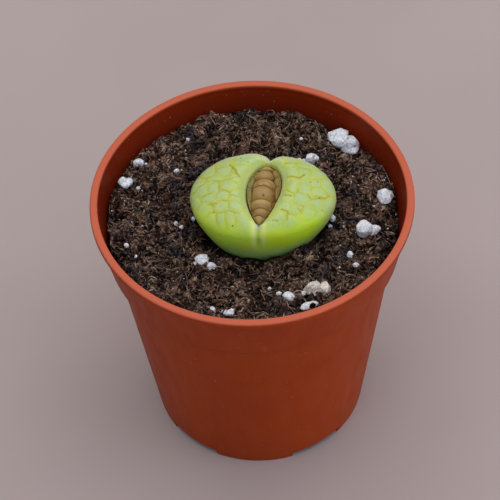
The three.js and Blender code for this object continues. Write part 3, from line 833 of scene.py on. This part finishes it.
def strewn(name, count, steps, lengths, thickness, rise, rng, material):
    """Thin curved tubes strewn over the soil, that follow its height in low arcs. Each bends evenly
    along its length, and is thickest in its middle."""
    places = scattered(count, rng, 0.97)
    length = lengths[0] + (lengths[1] - lengths[0]) * rng.random(count) ** 2.5
    heading = 2 * math.pi * rng.random(count)
    curl = rng.normal(0, 0.8, count)
    share = np.linspace(-0.5, 0.5, steps)
    angle = heading[:, None] + curl[:, None] * share
    stride = length[:, None] / (steps - 1)
    back = length[:, None] / 2
    x = places[:, :1] + np.cumsum(stride * np.cos(angle), axis=1) - back * np.cos(heading)[:, None]
    y = places[:, 1:] + np.cumsum(stride * np.sin(angle), axis=1) - back * np.sin(heading)[:, None]
    inside = np.minimum(1, (SOIL_REACH + 0.1) / np.hypot(x, y))
    x = x * inside
    y = y * inside
    ground, ground_tone_and_shade = (values.reshape(x.shape) for values in crumbly(x.ravel(), y.ravel()))
    level = ground.mean(axis=1, keepdims=True)
    tilt = rng.normal(0, 0.25, (count, 1)) * length[:, None] * share
    arch = rise * rng.random((count, 1)) * np.cos(math.pi * share) + tilt
    z = np.maximum(0.5 * (level + ground) + arch, ground + 0.02)
    radii = rng.uniform(*thickness, (count, 1)) * np.sqrt(1.02 - (2 * share) ** 2)
    points, faces = tubes(np.stack([x, y, z], axis=-1), radii)
    # The shreds and fibres take the ground's tone, its painted shade included.
    drawn = rng.random(count) ** 1.5 * (0.35 + 1.3 * ground_tone_and_shade.mean(axis=1))
    tone = np.repeat(np.clip(drawn, 0, 1), steps * 3)
    dress(new_piece(name, points, faces, material, tone=tone), "peat")


def peat_fibres(material):
    """The felt of short shreds that the peat is made of, and long rootlets on it."""
    rng = np.random.default_rng(33)
    strewn("peat_shreds", SHRED_COUNT, steps=5, lengths=(0.5, 2.6), thickness=(0.07, 0.17), rise=0.4,
           rng=rng, material=material)
    strewn("peat_fibres", FIBRE_COUNT, steps=9, lengths=(1.8, 5.5), thickness=(0.05, 0.09), rise=0.7,
           rng=rng, material=material)


# ---- Perlite ----

def perlite_grain(node, seed, material):
    """One grain over its solid: remeshed fine, its edges smoothed, then swollen and pitted by
    noise along its normals."""
    grain = bpy.data.objects.new(node + "_foam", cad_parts[node].data.copy())
    bpy.context.collection.objects.link(grain)
    shape = bmesh.new()
    shape.from_mesh(grain.data)
    bmesh.ops.remove_doubles(shape, verts=shape.verts, dist=0.001 * MM)
    shape.to_mesh(grain.data)
    shape.free()
    remesh = grain.modifiers.new("fine", "REMESH")
    remesh.mode = "VOXEL"
    remesh.voxel_size = 0.1 * MM
    smooth = grain.modifiers.new("round", "SMOOTH")
    smooth.iterations = 5
    apply_modifiers(grain)
    mesh = grain.data
    points = points_of(mesh)
    normal = np.empty(points.size, np.float32)
    mesh.vertex_normals.foreach_get("vector", normal)
    bubbles, _, _ = cell_noise(points, 0.75, seed)
    pits, _, draw = cell_noise(points, 0.9, seed + 40)
    swell = 0.07 * (0.5 - bubbles) + 0.06 * lattice_noise(points, 0.8, seed + 80)
    pit = 0.35 * (draw > 0.86) * (1 - smoothstep(pits, 0.1, 0.24))
    points = points + normal.reshape(-1, 3) * (swell - pit)[:, None]
    mesh.vertices.foreach_set("co", (points * MM).astype(np.float32).ravel())
    mesh.polygons.foreach_set("use_smooth", np.full(len(mesh.polygons), True))
    mesh.materials.clear()
    mesh.materials.append(material)
    mesh.update()
    dress(grain, "perlite", node)


def perlite_bits(material):
    """The smallest bits of perlite: some in known places, and a dust of pale specks."""
    rng = np.random.default_rng(47)
    known = np.array(SMALL_PERLITE)
    places = np.vstack([known[:, :2], scattered(DUST_COUNT, rng, 1.0)])
    size = np.concatenate([known[:, 2], 0.06 + 0.1 * rng.random(DUST_COUNT) ** 2])
    half_sizes = size[:, None] * rng.uniform(0.7, 1.2, (len(size), 3))
    height, _ = crumbly(*places.T)
    centres = np.column_stack([places, height + 0.8 * size + 0.1])
    points, faces, _ = chunks(centres, half_sizes, 0.25, rng, 2)
    bits = new_piece("perlite_bits", points, faces, material, smooth=False)
    dress(bits, "perlite")


# ---- Old leaf pair ----

def old_reach(x, y):
    """How far out a place is in the plant's own frame: 0 in the middle, 1 on the widest outline."""
    return np.hypot(x / OLD_ACROSS, y / np.where(y > 0, OLD_BACK, OLD_FRONT - OLD_SKEW * x))


def fissure_middle(y):
    """Where the fissure's middle line runs at a place along it."""
    ahead = np.minimum(0, y - FISSURE_BEND)
    return FISSURE_MIDDLE + FISSURE_LEAN * (y - ahead) + FISSURE_FRONT_LEAN * ahead


def fissure_half_width(y):
    """Half width of the opening between the leaves at a place along it: blunt behind, narrower in
    front."""
    behind = np.clip(1 - np.abs(y / FISSURE_BACK) ** 2.2, 0, 1) ** 0.62
    ahead = np.clip(1 - np.abs(y / FISSURE_FRONT) ** 1.75, 0, 1) ** 0.75
    return FISSURE_HALF_WIDTH * np.where(y > 0, behind, ahead)


def from_lip(x, y):
    """How far across a place lies beyond the fissure's edge; less than 0 in the opening."""
    return np.abs(x - fissure_middle(y)) - fissure_half_width(y)


def dome_height(x, y):
    """Height of the leaves' face over the widest level: a rounded dome that falls towards the
    fissure and towards its closed ends."""
    rise = np.maximum(0, 1 - old_reach(x, y) ** OLD_ROUNDNESS) ** (1 / OLD_ROUNDNESS)
    lip = np.clip(1 - from_lip(x, y) / LIP_WIDTH, 0, 1) ** 2
    return OLD_DOME * rise - LIP_FALL * lip * np.sqrt(rise)


def to_object(points):
    """From the plant's own frame to the object's: turned about +Z, then moved."""
    turn = math.radians(PLANT_TURN)
    spin = np.array([[math.cos(turn), math.sin(turn), 0], [-math.sin(turn), math.cos(turn), 0], [0, 0, 1]])
    return points @ spin + PLANT_PLACE


def island_places():
    """Middles of the net's islands, on the dome."""
    flat = np.array([(x, y) for y, row in ISLAND_ROWS for x in row])
    return np.column_stack([flat, dome_height(*flat.T)])


def net(points):
    """The net at each point: how deep its groove is, how far inside an island it is, and a draw for
    the island. A groove runs where the two nearest islands are equally far, and how strong it is
    depends on which two they are."""
    middles = island_places()
    wobble = 0.28 * np.column_stack([lattice_noise(points, 1.1, seed) for seed in (61, 62, 63)])
    distance = np.linalg.norm((points + wobble)[:, None, :] - middles[None], axis=2)
    order = np.argsort(distance, axis=1)[:, :2]
    nearest = np.take_along_axis(distance, order, axis=1)
    gap = nearest[:, 1] - nearest[:, 0]
    one, other = order.T
    draw = np.abs(np.sin(12.9898 * (one + other) + 78.233 * one * other))
    broken = smoothstep(lattice_noise(points, 1.6, 64), -0.5, 0.45)
    groove = np.exp(-(gap / 0.26) ** 2) * (0.1 + 0.6 * draw ** 1.6 * broken)
    for strength, *line in NET_LINES:
        away = to_line(points[:, 0] + wobble[:, 0] / 2, points[:, 1] + wobble[:, 1] / 2, line)
        groove = np.maximum(groove, strength * np.exp(-(away / 0.19) ** 2))
    return groove, smoothstep(gap, 0.2, 1.2), np.abs(np.sin(37.7 * one + 3.1))


def seam_depth(x, y, z):
    """How far the flank is drawn in along the closed line where the leaves meet."""
    away = np.abs(x - fissure_middle(y))
    fade = smoothstep(z, -4.5, -1) * smoothstep(old_reach(x, y), 0.66, 0.92)
    notch = np.where(y > 0, BACK_NOTCH_DEPTH * np.exp(-away / BACK_NOTCH_WIDTH), 0)
    return fade * (GROOVE_DEPTH * np.exp(-(away / GROOVE_WIDTH) ** 2) + notch)


def old_leaf_rings(around, face_steps):
    """Rings of the old pair in its own frame, from the root up the flank, over the face to the lips
    and down the cleft. On the face a ring is the widest outline drawn towards the fissure's edge."""
    turn = np.arange(around) / around * 2 * math.pi
    levels = np.concatenate([np.linspace(-26.4, -8.5, 14), np.linspace(-8, -0.12, 44)])
    across, front = (np.interp(levels, FLANK[::-1, 0], FLANK[::-1, column]) for column in (1, 2))
    across, front = (np.convolve(np.pad(size, 2, "edge"), np.full(5, 0.2), "valid")[:, None]
                     for size in (across, front))
    x = across * np.cos(turn)
    along = np.where(np.sin(turn) > 0, front * OLD_BACK / OLD_FRONT, front - OLD_SKEW * x)
    flank = np.stack([x, along * np.sin(turn), np.broadcast_to(levels[:, None], x.shape)], axis=-1)
    wave = 2 / math.pi * np.arcsin(np.sin(turn))
    edge_y = wave * np.where(wave > 0, FISSURE_BACK, FISSURE_FRONT)
    middle = fissure_middle(edge_y)
    edge_x = middle + np.sign(np.round(np.cos(turn), 9)) * fissure_half_width(edge_y)
    share = np.cos(np.arange(face_steps) / face_steps * math.pi / 2)[:, None] ** 0.9
    outer_x = OLD_ACROSS * np.cos(turn)
    outer_y = np.where(np.sin(turn) > 0, OLD_BACK, OLD_FRONT - OLD_SKEW * outer_x) * np.sin(turn)
    x = edge_x + share * (outer_x - edge_x)
    y = edge_y + share * (outer_y - edge_y)
    face = np.stack([x, y, dome_height(x, y)], axis=-1)
    lip = dome_height(edge_x, edge_y)
    depth = np.concatenate([np.sin(np.linspace(0.15, 1.4, 6)) * 0.06, np.linspace(0.1, 1, 12)])[:, None]
    inward = np.interp(depth, [0, 0.06, 0.1, 0.4, 1], [0, 0.02, 0.03, 0.1, 0.45])
    cleft = np.stack([
        edge_x + inward * (middle - edge_x), edge_y * (1 - inward / 4),
        lip + depth * (FISSURE_FLOOR - lip)], axis=-1)
    return flank, face, cleft


def old_leaf_values(points):
    """What the skin's colour follows, each from 0 to 1 at each point in the plant's own frame."""
    x, y, z = points.T
    away = from_lip(x, y)
    groove, inside, draw = net(points)
    patchy = lattice_noise(points, 2.4, 71)
    face = smoothstep(z + 0.5 * patchy, 0.6, 2.0) * smoothstep(away, 0.35, 1.3)
    front = smoothstep(-y, 2.0, 6.5)
    beside = np.abs(x - fissure_middle(y))
    closed = smoothstep(-y, 7.2, 7.7)
    seam = 0.6 * np.exp(-(beside / 0.35) ** 2) * closed * smoothstep(z, -3.5, -0.5)
    # Painted highlight: pale ridges on either side of the closed seam at the front.
    ridge = np.exp(-((beside - 0.8) / 0.5) ** 2)
    ridge_highlight = 0.9 * ridge * smoothstep(-y, 5.8, 7.2) * smoothstep(z, -3.6, -0.6)
    tip = np.exp(-(beside / 0.6) ** 2 - ((y + 7.65) / 0.35) ** 2) * (z > -1.5)
    # The tip is a pale membrane; the back edge of the face is a painted highlight, lit from behind.
    back = smoothstep(y, 5.5, 7.5) * (z > 0)
    tip_and_back_highlight = np.maximum(tip, back * (0.3 + 0.4 * np.exp(-(beside / 2.4) ** 2)))
    dot = np.zeros(len(points))
    for dot_x, dot_y, radius in SKIN_DOTS:
        apart = np.hypot(x - dot_x, y - dot_y)
        dot = np.maximum(dot, (z > 0) * (1 - smoothstep(apart, 0.6 * radius, 1.3 * radius)))
    return {
        "groove": face * np.clip(1.2 * groove - 0.1, 0, 1),
        "halo": face * np.clip(0.3 * (1 - inside) + 0.7 * smoothstep(groove, 0.1, 0.7), 0, 1),
        "island": face * inside * (0.5 + 0.5 * draw),
        "window": 0.75 * face * inside * smoothstep(draw, 0.7, 1.0),
        "lip": 0.5 * np.exp(-(np.maximum(away, 0) / 0.35) ** 2) * smoothstep(z, 0.2, 1.4),
        # Painted glow: the front flank, more on the right, is bright lime as if lit through the leaf;
        # partly its own green.
        "lime_and_painted_glow": smoothstep(3.2 + 0.6 * patchy - z, 0.0, 3.0) * front * (0.85 + 0.15 * np.tanh(x / 2)),
        "foot": smoothstep(-2.0 + 0.5 * patchy - z, 0.0, 3.4),
        "ridge_highlight": ridge_highlight,
        "seam": seam,
        "tip_and_back_highlight": tip_and_back_highlight,
        "dot": dot,
    }


def old_leaves(material):
    """The old leaf pair: its rings with the net's relief, closed at the root and in the cleft."""
    around = 560
    flank, face, cleft = old_leaf_rings(around, 88)
    skin = np.concatenate([flank, face])
    points = skin.reshape(-1, 3)
    x, y, z = points.T
    groove, inside, _ = net(points)
    away = from_lip(x, y)
    top = smoothstep(z, 0.2, 1.6) * smoothstep(away, 0.3, 1.1)
    swell = 0.04 * lattice_noise(points, 2.2, 73) + 0.012 * lattice_noise(points, 0.7, 74)
    relief = top * (0.09 * inside - 0.08 * groove) + swell * smoothstep(away, 0.1, 0.8)
    out = np.clip(1 - z / OLD_DOME, 0, 1)
    reach = np.maximum(np.hypot(x, y), 0.01)
    moved = np.column_stack([
        x + x / reach * relief * out,
        y + y / reach * relief * out - np.sign(y) * seam_depth(x, y, z),
        z + relief * (1 - out)])
    lip_fall = face[-1:, :, 2] - moved.reshape(skin.shape)[-1:, :, 2]
    cleft[..., 2] -= lip_fall * np.linspace(1, 0, len(cleft))[:, None]
    rings = np.concatenate([moved.reshape(skin.shape), cleft])
    points, faces = closed_rings([0, 0, ROOT_TIP], rings, [0, 0, FISSURE_FLOOR])
    values = old_leaf_values(points)
    leaves = new_piece("old_leaves", to_object(points), faces, material, **values)
    dress(leaves, "old_leaf", "old_leaf_pair")


# ---- New leaf pair ----

def cell_tops(x, y):
    """Height of the swollen cells, the furrow between them, how green each is, and how light, which
    carries painted shade.

    Each cell is a cap over its ellipse that falls with the distance from its middle, to a power,
    and a little to the front. The highest cap shows, so a cell's back edge is an arc over the one
    behind. A furrow is where the two highest are nearly level."""
    best = np.full(x.shape, -0.3)
    second = np.full(x.shape, -0.3)
    green = np.full(x.shape, 0.6)
    lightness_and_shade = np.full(x.shape, 0.2)
    for cells, side in ((NEW_CELLS, 1), (FRONT_CELLS, -1)):
        for cell_x, cell_y, half_x, half_y, height, greenness, lightness in cells:
            reach = ((x - cell_x) / half_x) ** 2 + ((y - cell_y) / half_y) ** 2
            cap = height + 0.12 * (y - cell_y) / half_y - 0.5 * reach ** 1.5
            cap = np.where((y - NEW_SPLIT) * side > 0, cap, -9)
            higher = cap > best
            second = np.where(higher, best, np.maximum(second, cap))
            green = np.where(higher, greenness, green)
            # Painted shade: each cell darker towards its rim and its front, lighter towards its back.
            shaded = 1 - 0.45 * np.minimum(1, reach) + 0.25 * (y - cell_y) / half_y
            lightness_and_shade = np.where(higher, lightness * shaded, lightness_and_shade)
            best = np.maximum(best, cap)
    furrow = np.exp(-((best - second) / 0.09) ** 2)
    for strength, *line in CELL_LINES:
        furrow = np.maximum(furrow, strength * np.exp(-(to_line(x, y, line) / 0.1) ** 2))
    return best - 0.14 * furrow, furrow, green, np.clip(lightness_and_shade, 0, 1)


def spotted(x, y, spots):
    """How strongly each place lies in one of the spots, which fade out from their middles."""
    strongest = np.zeros(x.shape)
    for spot_x, spot_y, half_x, half_y in spots:
        reach = ((x - spot_x) / half_x) ** 2 + ((y - spot_y) / half_y) ** 2
        strongest = np.maximum(strongest, np.exp(-reach))
    return strongest


def young_brim(y):
    """Height of the new pair's edge, a little below the old lips."""
    return dome_height(fissure_middle(y) + fissure_half_width(y), y) - NEW_SINK


def new_leaf_rings(stations, tops):
    """A loft along the fissure in the plant's frame: each section has a crowned top with cells and
    a narrowing underside."""
    share = np.cos(np.arange(1, stations) / stations * math.pi)
    y = -share * np.where(share < 0, NEW_BACK, NEW_FRONT)
    wide = fissure_half_width(y + np.sign(y) * CLEARANCE)
    half = np.maximum(0.1, 0.97 * wide - 0.15)[:, None]
    middle = fissure_middle(y)[:, None]
    across = np.sin(np.linspace(-1, 1, tops) * math.pi / 2)[None, :]
    grid_y = np.broadcast_to(y[:, None], (len(y), tops))
    x = middle + half * across
    cells, *looks = (values.reshape(x.shape) for values in cell_tops(x, grid_y))
    crown = (1 - across ** 2) * half / FISSURE_HALF_WIDTH
    brim = young_brim(y)[:, None]
    z = brim + NEW_CROWN * crown + (1 - across ** 6) * (1.2 * cells - 0.2)
    z -= 0.3 * np.exp(-((grid_y - NEW_SPLIT) / 0.1) ** 2) * (1 - across ** 6)
    top = np.stack([x, grid_y, z], axis=-1)
    floor = np.minimum(brim - 0.3, FISSURE_FLOOR + CLEARANCE + 0.04 * (y * y)[:, None])
    under_across = np.array([[0.99, 0.94, 0.55, -0.55, -0.94, -0.99]])
    under_drop = np.array([[0.08, 0.35, 0.97, 0.97, 0.35, 0.08]])
    under_y = np.broadcast_to(y[:, None], (len(y), under_across.size))
    under = np.stack([middle + half * under_across, under_y, brim + under_drop * (floor - brim)], axis=-1)
    return np.concatenate([top, under], axis=1), looks


def new_leaves(material):
    """The new leaf pair in the fissure, its sections closed at both tips."""
    rings, looks = new_leaf_rings(300, 110)
    front_tip, back_tip = ([fissure_middle(y), y, young_brim(y) - 0.3] for y in (-NEW_FRONT, NEW_BACK))
    points, faces = closed_rings(front_tip, rings, back_tip)
    x, y, _ = points.T
    unseen = ((0, 0), (0, rings.shape[1] - looks[0].shape[1]))
    furrow, green, lightness_and_shade = (
        np.pad(np.pad(look, unseen, constant_values=0.3).ravel(), 1, constant_values=0.3) for look in looks)
    split = np.exp(-((y - NEW_SPLIT) / 0.12) ** 2)
    values = {
        "furrow": np.clip(0.9 * furrow - 0.5 * split, 0, 1),
        "green": green,
        "lightness_and_shade": np.clip(lightness_and_shade + 0.7 * split, 0, 1),
        "rust": spotted(x, y, RUST_SPOTS),
        "olive": 0.8 * spotted(x, y, OLIVE_SPOTS),
        "dot": 1 - smoothstep(np.hypot(x - NEW_DOT[0], y - NEW_DOT[1]), 0.1, 0.28),
    }
    leaves = new_piece("new_leaves", to_object(points), faces, material, **values)
    dress(leaves, "young_leaf", "new_leaf_pair")


# ---- Studio ----

def add_floor():
    """A plain floor, level with the pot's feet."""
    half = 900
    points = np.array([[-half, -half, 0], [half, -half, 0], [half, half, 0], [-half, half, 0]], float)
    floor = new_piece("studio_floor", points, [np.array([[0, 1, 2, 3]])], plain_floor())


def add_light(name, place, aim, size, watts, colour):
    """A square soft box at a place, facing an aim, both in metres."""
    lamp = bpy.data.lights.new(name, "AREA")
    lamp.size = size
    lamp.energy = watts
    lamp.color = linear(colour)[:3]
    box = bpy.data.objects.new(name, lamp)
    bpy.context.collection.objects.link(box)
    away = Vector(place) - Vector(aim)
    box.matrix_world = Matrix.Translation(place) @ away.to_track_quat("Z", "Y").to_matrix().to_4x4()


def add_lights():
    """A large soft box above and behind, cool fills from the right and the front, and a weak sky."""
    add_light("soft_box", (0.02, 0.06, 0.6), (0.02, 0.06, 0), 0.95, 5.1, "#FFF8F0")
    add_light("side_fill", (0.75, -0.15, 0.12), (0, 0, 0.03), 0.5, 2.3, "#E4E8FF")
    add_light("front_fill", (0, -0.8, 0.25), (0, 0, 0.05), 0.5, 1.1, "#D0DEFF")
    world = bpy.data.worlds.new("sky")
    bpy.context.scene.world = world
    world.use_nodes = True
    sky = world.node_tree.nodes["Background"]
    sky.inputs["Color"].default_value = linear("#C4D4FF")
    sky.inputs["Strength"].default_value = 0.13


def add_camera():
    """The camera: in front and above, aimed near the rim's centre with small turns off it."""
    elevation = math.radians(48.6736)
    distance = 0.371864
    yaw = math.radians(0.1132)
    pitch = math.radians(-1.3837)
    roll = math.radians(2.7645)
    lens = bpy.data.cameras.new("camera")
    lens.sensor_width = 36
    lens.lens = 158.4
    lens.clip_start = 0.01
    camera = bpy.data.objects.new("camera", lens)
    bpy.context.collection.objects.link(camera)
    place = (0, -distance * math.cos(elevation), POT_HEIGHT * MM + distance * math.sin(elevation))
    aimed = Matrix.Rotation(math.pi / 2 - elevation, 4, "X")
    turned = Matrix.Rotation(yaw, 4, "Y") @ Matrix.Rotation(pitch, 4, "X") @ Matrix.Rotation(-roll, 4, "Z")
    camera.matrix_world = Matrix.Translation(place) @ aimed @ turned
    bpy.context.scene.camera = camera


# ---- The scene ----

add_camera()
add_lights()
add_floor()
moulded_pot(moulded_polypropylene())
damp = damp_peat()
peat(damp)
peat_crumbs(damp)
peat_fibres(peat_fibre())
white_perlite = expanded_perlite("expanded_perlite", "#E9EDF5", "#BAC4D4")
grey_perlite = expanded_perlite("weathered_perlite", "#E6E2DF", "#BDB8B3")
for number in range(1, GRAIN_COUNT + 1):
    foam = grey_perlite if number == WEATHERED_GRAIN else white_perlite
    perlite_grain(f"perlite_{number:02d}", number, foam)
perlite_bits(white_perlite)
old_leaves(old_leaf_cuticle())
new_leaves(new_leaf_cuticle())

bpy.context.scene.view_settings.view_transform = "Standard"
